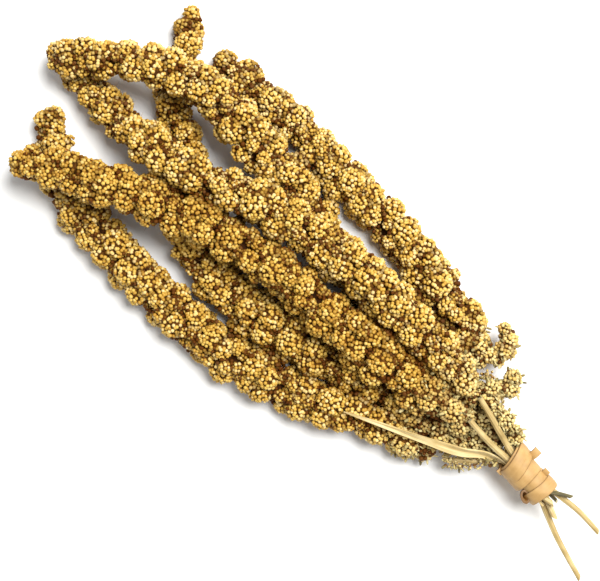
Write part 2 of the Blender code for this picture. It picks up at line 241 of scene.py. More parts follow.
def millet_seed():
    """Hulled millet grain: a hard, smooth little ball with a soft shine, pale on top and brown round its foot,
    partly its own colour and partly painted shade where the seeds crowd together; in creases it is painted darker
    still as shade
    """
    material, tree, shader = new_material("millet_seed")
    tone = add_node(tree, "ShaderNodeAttribute", {"attribute_name": "tone"}, {})
    crown = add_node(tree, "ShaderNodeAttribute", {"attribute_name": "crown"}, {})
    crease = add_node(tree, "ShaderNodeAttribute", {"attribute_name": "crease"}, {})
    pale = add_node(tree, "ShaderNodeAttribute", {"attribute_name": "pale"}, {})
    golden = add_node(
        tree, "ShaderNodeValToRGB",
        {"stops": [(0, "A67A26"), (0.3, "C0963A"), (0.65, "D2AE52"), (1, "E2C684")]},
        {0: tone.outputs["Fac"]},
    )
    greener = add_node(
        tree, "ShaderNodeMix", {"data_type": "RGBA"},
        {0: pale.outputs["Fac"], 6: golden.outputs["Color"], 7: colour("DACB90")},
    )
    # Partly painted shade: each seed turns brown round its foot, where its neighbours crowd it
    foot = add_node(
        tree, "ShaderNodeMapRange", {"interpolation_type": "SMOOTHSTEP"},
        {"Value": crown.outputs["Fac"], "From Min": 0.25, "From Max": 0.68, "To Min": 0.78, "To Max": 0},
    )
    foot_brown_and_shade = add_node(
        tree, "ShaderNodeMix", {"data_type": "RGBA"},
        {0: foot.outputs["Result"], 6: greener.outputs[2], 7: colour("86480E")},
    )
    # Painted shade: the crease value darkens seeds between lobes, deep in the head, near other heads and in the
    # bed, and dims their shine
    deep = add_node(tree, "ShaderNodeMath", {"operation": "MULTIPLY"}, {0: crease.outputs["Fac"], 1: 0.92})
    sunk = add_node(
        tree, "ShaderNodeMix", {"data_type": "RGBA"},
        {0: deep.outputs["Value"], 6: foot_brown_and_shade.outputs[2], 7: colour("472206")},
    )
    shine = add_node(
        tree, "ShaderNodeMapRange", {}, {"Value": crease.outputs["Fac"], "To Min": 0.3, "To Max": 0.04}
    )
    tree.links.new(sunk.outputs[2], shader.inputs["Base Color"])
    tree.links.new(shine.outputs["Result"], shader.inputs["Specular IOR Level"])
    shader.inputs["Roughness"].default_value = 0.5
    return material


def chaff_and_painted_shade(name, dark, light):
    """Dry husk and stalk under the seeds: dull, mottled and rough, dark brown partly of its own and partly as
    painted shade, so that gaps between seeds look deep
    """
    material, tree, shader = new_material(name)
    place = add_node(tree, "ShaderNodeTexCoord", {}, {})
    mottle = add_node(
        tree, "ShaderNodeTexNoise", {},
        {"Vector": place.outputs["Object"], "Scale": scale_for(FLECK_SIZE), "Detail": 3.0},
    )
    brown = add_node(
        tree, "ShaderNodeValToRGB", {"stops": [(0.3, dark), (0.7, light)]}, {0: mottle.outputs["Fac"]}
    )
    tree.links.new(brown.outputs["Color"], shader.inputs["Base Color"])
    shader.inputs["Roughness"].default_value = 0.9
    shader.inputs["Specular IOR Level"].default_value = 0.1
    return material


def open_husk():
    """Empty papery husks near the stems: thin, dull, and from grey-green to straw"""
    material, tree, shader = new_material("open_husk")
    tone = add_node(tree, "ShaderNodeAttribute", {"attribute_name": "tone"}, {})
    papery = add_node(
        tree, "ShaderNodeValToRGB",
        {"stops": [(0, "6A5E34"), (0.5, "A49258"), (1, "CCBC84")]},
        {0: tone.outputs["Fac"]},
    )
    tree.links.new(papery.outputs["Color"], shader.inputs["Base Color"])
    shader.inputs["Roughness"].default_value = 0.7
    return material


def millet_hair():
    """Fine hair between the seeds: golden, with a little shine"""
    material, tree, shader = new_material("millet_hair")
    tone = add_node(tree, "ShaderNodeAttribute", {"attribute_name": "tone"}, {})
    golden = add_node(
        tree, "ShaderNodeValToRGB", {"stops": [(0, "7A4A16"), (1, "D9B060")]}, {0: tone.outputs["Fac"]}
    )
    tree.links.new(golden.outputs["Color"], shader.inputs["Base Color"])
    shader.inputs["Roughness"].default_value = 0.5
    return material


def dry_straw(name, stops, fibres):
    """Dry millet straw: fine darker fibres run along it under a faint waxy shine"""
    material, tree, shader = new_material(name)
    skin = add_node(tree, "ShaderNodeUVMap", {"uv_map": "UVMap"}, {})
    along = add_node(tree, "ShaderNodeMapping", {}, {"Vector": skin.outputs["UV"], "Scale": (fibres, 5, 1)})
    fibre = add_node(
        tree, "ShaderNodeTexNoise", {}, {"Vector": along.outputs["Vector"], "Scale": 1.0, "Detail": 4.0}
    )
    place = add_node(tree, "ShaderNodeTexCoord", {}, {})
    blotch = add_node(
        tree, "ShaderNodeTexNoise", {},
        {"Vector": place.outputs["Object"], "Scale": scale_for(BLOTCH_SIZE), "Detail": 2.0},
    )
    both = add_node(
        tree, "ShaderNodeMath", {"operation": "MULTIPLY_ADD"},
        {0: blotch.outputs["Fac"], 1: 0.5, 2: fibre.outputs["Fac"]},
    )
    level = add_node(
        tree, "ShaderNodeMapRange", {}, {"Value": both.outputs["Value"], "From Min": 0.45, "From Max": 1.05}
    )
    yellow = add_node(tree, "ShaderNodeValToRGB", {"stops": stops}, {0: level.outputs["Result"]})
    ridge = add_node(
        tree, "ShaderNodeBump", {}, {"Height": fibre.outputs["Fac"], "Strength": 0.6, "Distance": 0.0002}
    )
    tree.links.new(yellow.outputs["Color"], shader.inputs["Base Color"])
    tree.links.new(ridge.outputs["Normal"], shader.inputs["Normal"])
    shader.inputs["Roughness"].default_value = 0.5
    return material


def straw_pith():
    """The cut end of a straw: a spongy pale core full of tiny pores"""
    material, tree, shader = new_material("straw_pith")
    place = add_node(tree, "ShaderNodeTexCoord", {}, {})
    pores = add_node(
        tree, "ShaderNodeTexVoronoi", {}, {"Vector": place.outputs["Object"], "Scale": scale_for(PORE_SIZE)}
    )
    pale = add_node(
        tree, "ShaderNodeValToRGB", {"stops": [(0.1, "7C6A3C"), (0.5, "C9BE92")]},
        {0: pores.outputs["Distance"]},
    )
    tree.links.new(pale.outputs["Color"], shader.inputs["Base Color"])
    shader.inputs["Roughness"].default_value = 0.85
    return material


def tan_rubber(name, stops):
    """Natural rubber band: matt, even tan, cloudy with talc, with faint stretch lines, and dark brown towards
    both edges, partly grime on its cut edges and partly painted shade in the seams where its turns overlap
    """
    material, tree, shader = new_material(name)
    place = add_node(tree, "ShaderNodeTexCoord", {}, {})
    cloudy = add_node(
        tree, "ShaderNodeTexNoise", {},
        {"Vector": place.outputs["Object"], "Scale": scale_for(CLOUD_SIZE), "Detail": 4.0},
    )
    skin = add_node(tree, "ShaderNodeUVMap", {"uv_map": "UVMap"}, {})
    across = add_node(tree, "ShaderNodeMapping", {}, {"Vector": skin.outputs["UV"], "Scale": (26, 9, 1)})
    stretch = add_node(
        tree, "ShaderNodeTexNoise", {}, {"Vector": across.outputs["Vector"], "Scale": 1.0, "Detail": 3.0}
    )
    both = add_node(
        tree, "ShaderNodeMath", {"operation": "MULTIPLY_ADD"},
        {0: stretch.outputs["Fac"], 1: 0.35, 2: cloudy.outputs["Fac"]},
    )
    tan = add_node(
        tree, "ShaderNodeValToRGB",
        {"stops": stops},
        {0: both.outputs["Value"]},
    )
    apart = add_node(tree, "ShaderNodeSeparateXYZ", {}, {"Vector": skin.outputs["UV"]})
    off_middle = add_node(tree, "ShaderNodeMath", {"operation": "SUBTRACT"}, {0: apart.outputs["X"], 1: 0.5})
    outer = add_node(tree, "ShaderNodeMath", {"operation": "ABSOLUTE"}, {0: off_middle.outputs["Value"]})
    # Partly painted shade: towards both edges the band turns dark brown, for the seams where its turns overlap
    edge = add_node(
        tree, "ShaderNodeMapRange", {"interpolation_type": "SMOOTHSTEP"},
        {"Value": outer.outputs["Value"], "From Min": 0.43, "From Max": 0.5, "To Min": 0, "To Max": 0.8},
    )
    edge_grime_and_shade = add_node(
        tree, "ShaderNodeMix", {"data_type": "RGBA"},
        {0: edge.outputs["Result"], 6: tan.outputs["Color"], 7: colour("5E3A16")},
    )
    grain = add_node(
        tree, "ShaderNodeBump", {}, {"Height": stretch.outputs["Fac"], "Strength": 0.35, "Distance": 0.0003}
    )
    tree.links.new(edge_grime_and_shade.outputs[2], shader.inputs["Base Color"])
    tree.links.new(grain.outputs["Normal"], shader.inputs["Normal"])
    shader.inputs["Roughness"].default_value = 0.6
    return material


def white_table():
    """White matt card under the bunch"""
    material, _, shader = new_material("white_card")
    shader.inputs["Base Color"].default_value = colour("F7F7F5")
    shader.inputs["Roughness"].default_value = 0.8
    return material


def select_only(*things):
    """Selects these objects alone, with the first one active"""
    bpy.ops.object.select_all(action="DESELECT")
    for thing in things:
        thing.select_set(True)
    bpy.context.view_layer.objects.active = things[0]


def copy_of_node(node, name, material):
    """A new object with the CAD node's mesh, its loose triangles merged"""
    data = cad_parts[node].data.copy()
    data.materials.clear()
    data.materials.append(material)
    thing = bpy.data.objects.new(name, data)
    bpy.context.collection.objects.link(thing)
    select_only(thing)
    bpy.ops.object.mode_set(mode="EDIT")
    bpy.ops.mesh.select_all(action="SELECT")
    bpy.ops.mesh.remove_doubles(threshold=0.01 * MM)
    bpy.ops.object.mode_set(mode="OBJECT")
    return thing


def apply_all(thing):
    """Applies the object's modifiers in their order"""
    select_only(thing)
    for modifier in list(thing.modifiers):
        bpy.ops.object.modifier_apply(modifier=modifier.name)


def spreading_group(shape):
    """Geometry nodes that put a copy of the shape on each point, along its direction and at its size"""
    group = bpy.data.node_groups.new("spread_" + shape.name, "GeometryNodeTree")
    group.interface.new_socket("Geometry", in_out="INPUT", socket_type="NodeSocketGeometry")
    group.interface.new_socket("Geometry", in_out="OUTPUT", socket_type="NodeSocketGeometry")
    start = add_node(group, "NodeGroupInput", {}, {})
    model = add_node(group, "GeometryNodeObjectInfo", {}, {"Object": shape})
    outward = add_node(
        group, "GeometryNodeInputNamedAttribute", {"data_type": "FLOAT_VECTOR"}, {"Name": "outward"}
    )
    size = add_node(group, "GeometryNodeInputNamedAttribute", {"data_type": "FLOAT"}, {"Name": "size"})
    turn = add_node(
        group, "FunctionNodeAlignRotationToVector", {"axis": "Z"}, {"Vector": outward.outputs["Attribute"]}
    )
    spread = add_node(
        group, "GeometryNodeInstanceOnPoints", {},
        {
            "Points": start.outputs["Geometry"],
            "Instance": model.outputs["Geometry"],
            "Rotation": turn.outputs["Rotation"],
            "Scale": size.outputs["Attribute"],
        },
    )
    real = add_node(
        group, "GeometryNodeRealizeInstances", {}, {"Geometry": spread.outputs["Instances"]}
    )
    add_node(group, "NodeGroupOutput", {}, {"Geometry": real.outputs["Geometry"]})
    return group


def spread(name, group, material, places, outward, numbers):
    """Copies of the group's shape at the places, as one object; numbers are values kept for each copy"""
    data = bpy.data.meshes.new(name)
    data.from_pydata((np.array(places) * MM).tolist(), [], [])
    data.attributes.new("outward", "FLOAT_VECTOR", "POINT").data.foreach_set("vector", np.ravel(outward))
    for number, values in numbers.items():
        data.attributes.new(number, "FLOAT", "POINT").data.foreach_set("value", np.ravel(values))
    thing = bpy.data.objects.new(name, data)
    bpy.context.collection.objects.link(thing)
    thing.modifiers.new("spread", "NODES").node_group = group
    apply_all(thing)
    thing.data.materials.clear()
    thing.data.materials.append(material)
    return thing


def unit_shape(name):
    """Names the primitive that was just added and puts its size and place into its mesh"""
    shape = bpy.context.object
    shape.name = name
    bpy.ops.object.transform_apply(location=True, rotation=True, scale=True)
    bpy.ops.object.shade_smooth()
    return shape


def seed_shape():
    """One seed of unit radius, a little longer than wide, which knows how near its crown each corner is"""
    bpy.ops.object.select_all(action="DESELECT")
    bpy.ops.mesh.primitive_ico_sphere_add(subdivisions=1, radius=1, scale=(1, 1, SEED_LENGTH))
    seed = unit_shape("one_seed")
    bpy.ops.object.mode_set(mode="EDIT")
    bpy.ops.mesh.select_mode(type="VERT")
    bpy.ops.mesh.select_all(action="DESELECT")
    bpy.ops.object.mode_set(mode="OBJECT")
    for corner in seed.data.vertices:
        corner.select = corner.co.z < -1
    bpy.ops.object.mode_set(mode="EDIT")
    bpy.ops.mesh.dissolve_verts()
    bpy.ops.object.mode_set(mode="OBJECT")
    heights = np.array([corner.co.z for corner in seed.data.vertices])
    crown = seed.data.attributes.new("crown", "FLOAT", "POINT")
    crown.data.foreach_set("value", (heights / SEED_LENGTH + 1) / 2)
    return seed


def plain_seed_shape():
    """A seed with fewer faces, for the undersides and the deep creases"""
    bpy.ops.object.select_all(action="DESELECT")
    bpy.ops.mesh.primitive_uv_sphere_add(segments=5, ring_count=2, radius=1.08)
    return unit_shape("one_plain_seed")


def lobe_shape():
    """The chaff ball under the seeds of one lobe, of unit radius"""
    bpy.ops.object.select_all(action="DESELECT")
    bpy.ops.mesh.primitive_uv_sphere_add(segments=7, ring_count=5, radius=1)
    return unit_shape("one_lobe")


def hair_shape():
    """One hair of unit length: a needle with three sides that starts at the origin"""
    bpy.ops.object.select_all(action="DESELECT")
    bpy.ops.mesh.primitive_cone_add(vertices=3, radius1=HAIR_WIDTH, radius2=0, depth=1, location=(0, 0, 0.5))
    return unit_shape("one_hair")


def husk_shape():
    """One empty husk of unit length: a flat, pointed little boat that starts at the origin"""
    bpy.ops.object.select_all(action="DESELECT")
    bpy.ops.mesh.primitive_uv_sphere_add(
        segments=5, ring_count=4, radius=0.5, location=(0, 0, 0.5), scale=(0.55, 0.28, 1)
    )
    return unit_shape("one_husk")


def skin_of(heads):
    """The CAD surfaces of these heads, to measure to"""
    corners, faces = [], []
    for head in heads:
        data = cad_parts[head + "_head"].data
        faces += [[len(corners) + index for index in face.vertices] for face in data.polygons]
        corners += [corner.co.copy() for corner in data.vertices]
    return BVHTree.FromPolygons(corners, faces)


def lobe_seats(mesh, skin, others, draw):
    """Every place where a lobe may stand: its rise, place, direction, half the head's thickness and bulge"""
    seats = []
    for corner in mesh.verts:
        rise = max((corner.co - edge.other_vert(corner).co).dot(corner.normal) for edge in corner.link_edges)
        seats.append((rise / MM, corner.co, corner.normal))
    for face in mesh.faces:
        corners = np.array([corner.co for corner in face.verts])
        shares = draw.dirichlet((1, 1, 1), max(1, round(face.calc_area() / (SEATS_APART * MM) ** 2)))
        seats.extend((0, Vector(spot), face.normal) for spot in shares @ corners)
    found = []
    for rise, place, outward in seats:
        through = skin.ray_cast(place - outward * RAY_START * MM, -outward)[3]
        half = min(HALF_LIMITS[1], max(HALF_LIMITS[0], (through or 0) / 2 / MM))
        facing = others.ray_cast(place + outward * RAY_START * MM, outward, FACING_REACH * MM)[3]
        bulge = 0
        if facing is not None and outward.z > FACING_UPSIDE:
            bulge = -FACING_SINK * (1 - facing / MM / FACING_REACH)
        elif facing is not None:
            bulge = min(facing / MM / 2 + FACING_BULGE[0], FACING_BULGE[1])
        found.append((rise + draw.uniform(0, SEAT_SHUFFLE), place / MM, outward.copy(), half, bulge))
    return sorted(found, key=lambda seat: -seat[0])


def lobes_of_head(seats, draw):
    """Lobes as balls, their middles and radii: big ones side by side over the head, small ones in the gaps"""
    tops, middles, radii = np.empty((0, 3)), np.empty((0, 3)), np.empty(0)
    for big in (True, False):
        for _, place, outward, half, bulge in seats:
            if big:
                radius = float(np.interp(half, HALF_THICKNESS, LOBE_RADIUS)) * draw.uniform(*LOBE_SPREAD)
                lift = bulge + draw.uniform(*LOBE_LIFT) + THIN_LIFT * float(np.interp(half, *THIN_HALVES))
                apart = np.linalg.norm(tops - np.array(place), axis=1) / (radii + radius)
                if apart.min(initial=LOBE_APART) < LOBE_APART:
                    continue
            else:
                radius, lift = draw.uniform(*SMALL_RADIUS), draw.uniform(*SMALL_LIFT)
                sunk = np.array(place + outward * lift)
                if (np.linalg.norm(middles - sunk, axis=1) - radii).min() < SMALL_GAP:
                    continue
            tops = np.vstack([tops, place])
            middles = np.vstack([middles, place + outward * (lift - radius)])
            radii = np.append(radii, radius)
    middles[:, 2] = np.maximum(middles[:, 2], radii)
    return middles, radii


def bed_of_head(mesh, middles, radii, draw):
    """Seeds that line the deep gaps between the lobes: their places and directions"""
    places, outward = [], []
    for face in mesh.faces:
        corners = np.array([corner.co for corner in face.verts]) / MM
        tries = round(face.calc_area() / MM**2 + draw.uniform(0, 1))
        if tries:
            spots = draw.dirichlet((1, 1, 1), tries) @ corners - BED_DEPTH * np.array(face.normal)
            gaps = np.linalg.norm(spots[:, None] - middles[None], axis=2) - (radii - SEED_RADIUS)
            for spot in spots[gaps.min(axis=1) > -BED_OVERLAP]:
                if len(places) == 0 or np.linalg.norm(np.array(places) - spot, axis=1).min() > BED_SPACING:
                    places.append(spot)
                    outward.append(np.array(face.normal))
    return np.array(places), np.array(outward)


def directions_on_ball(count, draw):
    """Evenly spread directions, turned at random and shaken a little"""
    steps = np.arange(count) + 0.5
    height = 1 - 2 * steps / count
    turn = math.pi * (3 - math.sqrt(5)) * steps
    flat = np.sqrt(1 - height**2)
    spots = np.stack([flat * np.cos(turn), flat * np.sin(turn), height], axis=1)
    spots = spots @ np.array(Euler(draw.uniform(0, 2 * math.pi, 3)).to_matrix())
    spots += draw.normal(0, SEED_SHAKE, spots.shape) * SEED_SPACING / SHAKEN_BALL
    return spots / np.linalg.norm(spots, axis=1)[:, None]


def seen_from_outside(points, spots, offsets, reaches, views):
    """Which points on a ball can be seen past the other balls, given by their offsets from it, from any side"""
    seen = np.zeros(len(points), bool)
    ways = offsets[None] - points[:, None]
    squares = (ways**2).sum(axis=2)
    for view in views:
        ahead = ways @ view
        hidden = ((ahead > 0) & (squares - ahead**2 < reaches**2)).any(axis=1)
        seen |= (spots @ view > 0) & ~hidden
    return seen


def seeds_of_head(middles, radii, skin, others, stalks, draw):
    """Seeds on the lobes, without those hidden in another lobe, deep in the head or in the way of a stem"""
    places, outward, crease, size = [], [], [], []
    inner = radii - SEED_RADIUS
    views = directions_on_ball(SEED_VIEWS, draw)
    for number, (middle, reach) in enumerate(zip(middles, inner)):
        spacing = SEED_SPACING * float(np.interp(reach, *SMALL_BALLS))
        count = max(FEWEST_SEEDS, round(4 * math.pi * reach**2 / (HEXAGON_SHARE * spacing**2)))
        spots = directions_on_ball(count, draw)
        points = middle + (reach + draw.uniform(*SEED_RISE, (count, 1))) * spots
        gaps = np.linalg.norm(points[:, None] - middles[None], axis=2) - inner
        gaps[:, number] = FAR_OFF
        nearest = gaps.min(axis=1)
        near = np.linalg.norm(middles - middle, axis=1) < NEIGHBOUR_REACH
        near[number] = False
        offsets = middles[near] - middle
        seen = seen_from_outside(points - middle, spots, offsets, inner[near] + SEED_COVER, views)
        beside = np.linalg.norm(points[:, None] - stalks[None], axis=2).min(axis=1)
        scale = SEED_RADIUS * spacing / SEED_SPACING * draw.uniform(*SEED_SPREAD, count)
        for point, spot, gap, clear, seed, open_view in zip(points, spots, nearest, beside, scale, seen):
            if gap < SEED_CLEAR or clear < STEM_RADIUS + seed / 2 or not open_view:
                continue
            spot_on_skin, normal, _, distance = skin.find_nearest(Vector(point) * MM)
            below = distance / MM * (-1 if (Vector(point) * MM - spot_on_skin).dot(normal) > 0 else 1)
            if below > SEED_DEEPEST:
                continue
            places.append(point)
            outward.append(spot)
            # Painted shade: the crease value grows near another lobe, deep under the skin and near another head
            apart = (others.find_nearest(Vector(point) * MM, FACING_DARK * MM)[3] or 1) / MM / FACING_DARK
            deep = (below - CREASE_DEPTH[0]) / CREASE_DEPTH[1]
            crease.append(min(1, max(0, 1 - gap / CREASE_WIDTH, deep, 1 - apart)))
            size.append(seed)
    return np.array(places), np.array(outward), np.array(crease), np.array(size)


def florets_on_stem(way, draw):
    """Poor little seeds close round the bare stem, between its head and the tie"""
    places, outward = [], []
    for distance in np.arange(0, way.length, FLORET_STEP):
        middle = way.at(distance)
        if middle.x > FLORETS_END:
            break
        ahead, side, up = way.frame(distance)
        turn = draw.uniform(0, 2 * math.pi)
        spot = math.cos(turn) * side + math.sin(turn) * up + ahead * draw.uniform(*FLORET_LEAN)
        places.append(middle + spot * draw.uniform(*FLORET_REACH))
        outward.append(spot.normalized())
    return np.array(places), np.array(outward)


def seed_head(name, groups, materials, way, stalks):
    """One head: a core whose dark is partly painted shade, the chaff balls of its lobes, the seeds on them, fine
    hairs and open husks
    """
    draw = np.random.default_rng([SEED, HEADS.index(name)])
    core = copy_of_node(name + "_head", name + "_core", materials["chaff"])
    mesh = bmesh.new()
    mesh.from_mesh(core.data)
    mesh.normal_update()
    skin = BVHTree.FromBMesh(mesh)
    others = skin_of([head for head in HEADS if head != name])
    middles, radii = lobes_of_head(lobe_seats(mesh, skin, others, draw), draw)
    places, outward, crease, size = seeds_of_head(middles, radii, skin, others, stalks, draw)
    additions = [(*bed_of_head(mesh, middles, radii, draw), BED_CREASE, BED_SIZE)]
    mesh.free()
    if name not in BURIED_STEMS:
        additions.append((*florets_on_stem(way, draw), FLORET_CREASE, FLORET_SIZE))
    for more_places, more_outward, creases, sizes in additions:
        places = np.vstack([places, more_places])
        outward = np.vstack([outward, more_outward])
        crease = np.append(crease, draw.uniform(*creases, len(more_places)))
        size = np.append(size, draw.uniform(*sizes, len(more_places)))
    under = outward[:, 2] < PLAIN_FACING
    size[under] *= UNDER_SIZE
    kept = ~under | (draw.uniform(0, 1, len(places)) > UNDER_SPARED)
    places, outward, crease, size = places[kept], outward[kept], crease[kept], size[kept]
    places[:, 2] = np.clip(places[:, 2], SEED_LENGTH * size, TOP - SEED_LENGTH * size)
    tone = np.clip(draw.uniform(0, 1, len(places)) + HEAD_TONES[name], 0, 1)
    pale = np.clip((places[:, 0] - PALE_FROM) / PALE_OVER, 0, 1)
    husked = draw.uniform(0, 1, len(places)) < pale * HUSK_CHANCE
    numbers = {"size": size * MM, "tone": tone, "crease": crease}
    numbers["pale"] = pale * draw.uniform(*PALE_SPREAD, len(pale))
    plain = (crease > PLAIN_CREASE) | (outward[:, 2] < PLAIN_FACING)
    seeds, plain_seeds = [
        spread(
            name + "_" + kind, groups[kind], materials["seed"], places[chosen], outward[chosen],
            {number: values[chosen] for number, values in numbers.items()},
        )
        for kind, chosen in (("seed", ~plain), ("plain_seed", plain))
    ]
    upright = np.tile((0.0, 0.0, 1.0), (len(middles), 1))
    ball_sizes = {"size": (radii - SEED_RADIUS - CHAFF_DEPTH) * MM}
    balls = spread(name + "_balls", groups["lobe"], materials["stalk"], middles, upright, ball_sizes)
    haired = draw.uniform(0, 1, len(places)) < HAIR_CHANCE
    fringes = []
    hairs, husks = ("hair", haired, HAIR_LENGTH, HAIR_LEAN), ("husk", husked, HUSK_LENGTH, HUSK_LEAN)
    for kind, chosen, lengths, lean in (hairs, husks):
        ways = outward[chosen] + draw.normal(0, lean, (chosen.sum(), 3))
        ways /= np.linalg.norm(ways, axis=1)[:, None]
        length = draw.uniform(*lengths, chosen.sum())
        ends = places[chosen][:, 2] + ways[:, 2] * length
        lying = (ends > LOWEST_TIP) & (ends < TOP)
        values = {"size": length[lying] * MM, "tone": draw.uniform(0, 1, lying.sum())}
        at = places[chosen][lying]
        fringes.append(spread(name + "_" + kind, groups[kind], materials[kind], at, ways[lying], values))
    select_only(core)
    bpy.ops.object.mode_set(mode="EDIT")
    bpy.ops.mesh.select_all(action="SELECT")
    bpy.ops.transform.shrink_fatten(value=-CORE_DEPTH * MM)
    bpy.ops.object.mode_set(mode="OBJECT")
    select_only(seeds, plain_seeds, balls, core, *fringes)
    bpy.ops.object.join()
    seeds.name = name + "_seed_head"
    return seeds


class Way:
    """A smooth middle line through given points, with a sideways and an upward direction along it"""

    def __init__(self, points, steps=8):
        given = np.array(points, float)
        given = np.vstack([2 * given[0] - given[1], given, 2 * given[-1] - given[-2]])
        route = []
        for before, start, end, after in zip(given, given[1:], given[2:], given[3:]):
            for share in np.arange(steps) / steps:
                bend = 2 * before - 5 * start + 4 * end - after
                twist = 3 * start - before - 3 * end + after
                route.append(start + 0.5 * share * (end - before + share * (bend + share * twist)))
        self.route = np.array(route + [given[-2]])
        self.along = np.concatenate([[0], np.cumsum(np.linalg.norm(np.diff(self.route, axis=0), axis=1))])
        self.length = self.along[-1]

    def at(self, distance):
        return Vector([np.interp(distance, self.along, axis) for axis in self.route.T])

    def frame(self, distance):
        ahead = (self.at(min(distance + 1, self.length)) - self.at(max(distance - 1, 0))).normalized()
        side = Vector((0, 0, 1)).cross(ahead).normalized()
        return ahead, side, ahead.cross(side)


def bent_strip(name, columns, rows, place_of, material):
    """A strip of columns by rows faces, each corner put where place_of says for its share across and along"""
    bpy.ops.object.select_all(action="DESELECT")
    bpy.ops.mesh.primitive_grid_add(x_subdivisions=columns, y_subdivisions=rows, size=2)
    strip = bpy.context.object
    strip.name = name
    for corner in strip.data.vertices:
        corner.co = place_of((corner.co.x + 1) / 2, (corner.co.y + 1) / 2) * MM
    strip.data.materials.append(material)
    return strip


def close_tube(tube, pith):
    """Joins the strip's long edges to a tube and closes its ends, which show the pith"""
    select_only(tube)
    bpy.ops.object.mode_set(mode="EDIT")
    bpy.ops.mesh.select_all(action="SELECT")
    bpy.ops.mesh.remove_doubles(threshold=0.01 * MM)
    bpy.ops.mesh.select_all(action="DESELECT")
    bpy.ops.object.mode_set(mode="OBJECT")
    sides = len(tube.data.polygons)
    bpy.ops.object.mode_set(mode="EDIT")
    bpy.ops.mesh.select_non_manifold()
    bpy.ops.mesh.fill_holes(sides=0)
    bpy.ops.mesh.select_all(action="SELECT")
    bpy.ops.mesh.normals_make_consistent(inside=False)
    bpy.ops.object.mode_set(mode="OBJECT")
    tube.data.materials.append(pith)
    for face in tube.data.polygons[sides:]:
        face.material_index = 1
    bpy.ops.object.shade_smooth_by_angle(angle=math.radians(40))


def stem_way(name):
    """A stem's middle line, from its head through the tie to its cut end"""
    behind, degrees, beyond = STEM_WAYS[name]
    spacing = 0 if degrees is None else STEM_SPACING
    side = spacing * math.cos(math.radians(degrees or 0))
    up = spacing * math.sin(math.radians(degrees or 0))
    inside = [tuple(tie_place(share * TIE_LENGTH, side, up)) for share in STEM_HOLDS]
    return Way(behind + inside + beyond)


def stem(name, way, straw, pith, olive):
    """A ribbed straw stem that thins toward its end, where it is cut on the slant"""
    draw = np.random.default_rng([SEED, 20 + HEADS.index(name)])
    ribs, phase, slant = draw.integers(7, 10), draw.uniform(0, 6), draw.uniform(-1, 1, 2)

    def place_of(round_it, share):
        ahead, side, up = way.frame(share * way.length)
        turn = 2 * math.pi * round_it
        radius = STEM_RADIUS * float(np.interp(share, *STEM_TAPER))
        if name in DARK_STEMS:
            radius *= float(np.interp(share, *DARK_TAPER))
        radius *= 1 + 0.05 * math.sin(ribs * turn + phase) + 0.04 * math.sin(2 * turn + 3 * share)
        spot = way.at(share * way.length) + radius * (math.cos(turn) * side + math.sin(turn) * up)
        cut = max(0, share - CUT_FROM) / CUT_OVER
        return spot + ahead * cut * radius * (slant[0] * math.cos(turn) + slant[1] * math.sin(turn))

    rows = max(12, round(way.length / 1.2))
    tube = bent_strip(name + "_straw", 24, rows, place_of, straw)
    close_tube(tube, pith)
    tube.data.materials.append(olive)
    # On the upper stem the dark olive beyond the tie is painted shade
    for face in tube.data.polygons:
        if name in DARK_STEMS and face.center.x > DARK_FROM * MM and face.material_index == 0:
            face.material_index = 2
    return tube


def leaf_blade(way, material):
    """A dry blade, gently folded along its midrib and curled at its edges, thin and narrow at its free tip"""
    def place_of(across, share):
        ahead, side, up = way.frame(share * way.length)
        turn = math.radians(float(np.interp(share, *LEAF_TWIST)))
        half = LEAF_WIDTH / 2 * float(np.interp(share, *LEAF_TAPER))
        over = 2 * across - 1
        flat = math.cos(turn) * side + math.sin(turn) * up
        raised = ahead.cross(flat)
        fold = LEAF_FOLD * half * (abs(over) ** 1.5 - 0.4)
        fold += LEAF_CURL * half * math.sin(19 * share + 2.5 * over)
        return way.at(share * way.length) + over * half * flat + fold * raised

    blade = bent_strip("leaf", 10, 90, place_of, material)
    wall = blade.modifiers.new("wall", "SOLIDIFY")
    wall.thickness = LEAF_THICKNESS * MM
    wall.offset = 0
    apply_all(blade)
    bpy.ops.object.shade_smooth_by_angle(angle=math.radians(50))
    return blade


def tie_place(along, side, up):
    """A place in the tie's own directions, in mm: along the stems, to their left, and up"""
    return TIE_MIDDLE + Matrix.Rotation(TIE_TURN, 3, "Z") @ Vector((along, side, up))


def wound_place(across, share):
    """A place on the band as it is wound: each turn keeps its own lie on top and passes on underneath"""
    turns = np.array(TIE_TURNS, float)
    wound = share * len(turns)
    number = min(int(wound), len(turns) - 1)
    passing = min(1, max(0, (wound - number - PASSING_FROM) / PASSING_OVER))
    passing = passing * passing * (3 - 2 * passing)
    lie = turns[number] + passing * (turns[min(number + 1, len(turns) - 1)] - turns[number])
    radius, width, along, side, lean, swing = lie.tolist()
    angle = 2 * math.pi * (wound - number) + math.radians(BAND_START)
    over = 2 * across - 1
    depth, middle, spread_over = BAND_CREASE
    crease = depth * math.exp(-(((across - middle) / spread_over) ** 2)) if number == CREASED_TURN else 0
    reach = radius - BAND_THICKNESS / 2 - 0.35 * abs(over) ** 4 - crease
    reach += 0.06 * math.sin(3 * angle + 3 * number) + 0.03 * math.sin(7 * angle + 4 * across)
    y = side + reach * math.cos(angle)
    z = reach * math.sin(angle)
    x = along + over * width / 2 + z * math.tan(math.radians(lean)) - y * math.tan(math.radians(swing))
    return tie_place(x + 0.1 * math.sin(3 * angle + number), y, z)


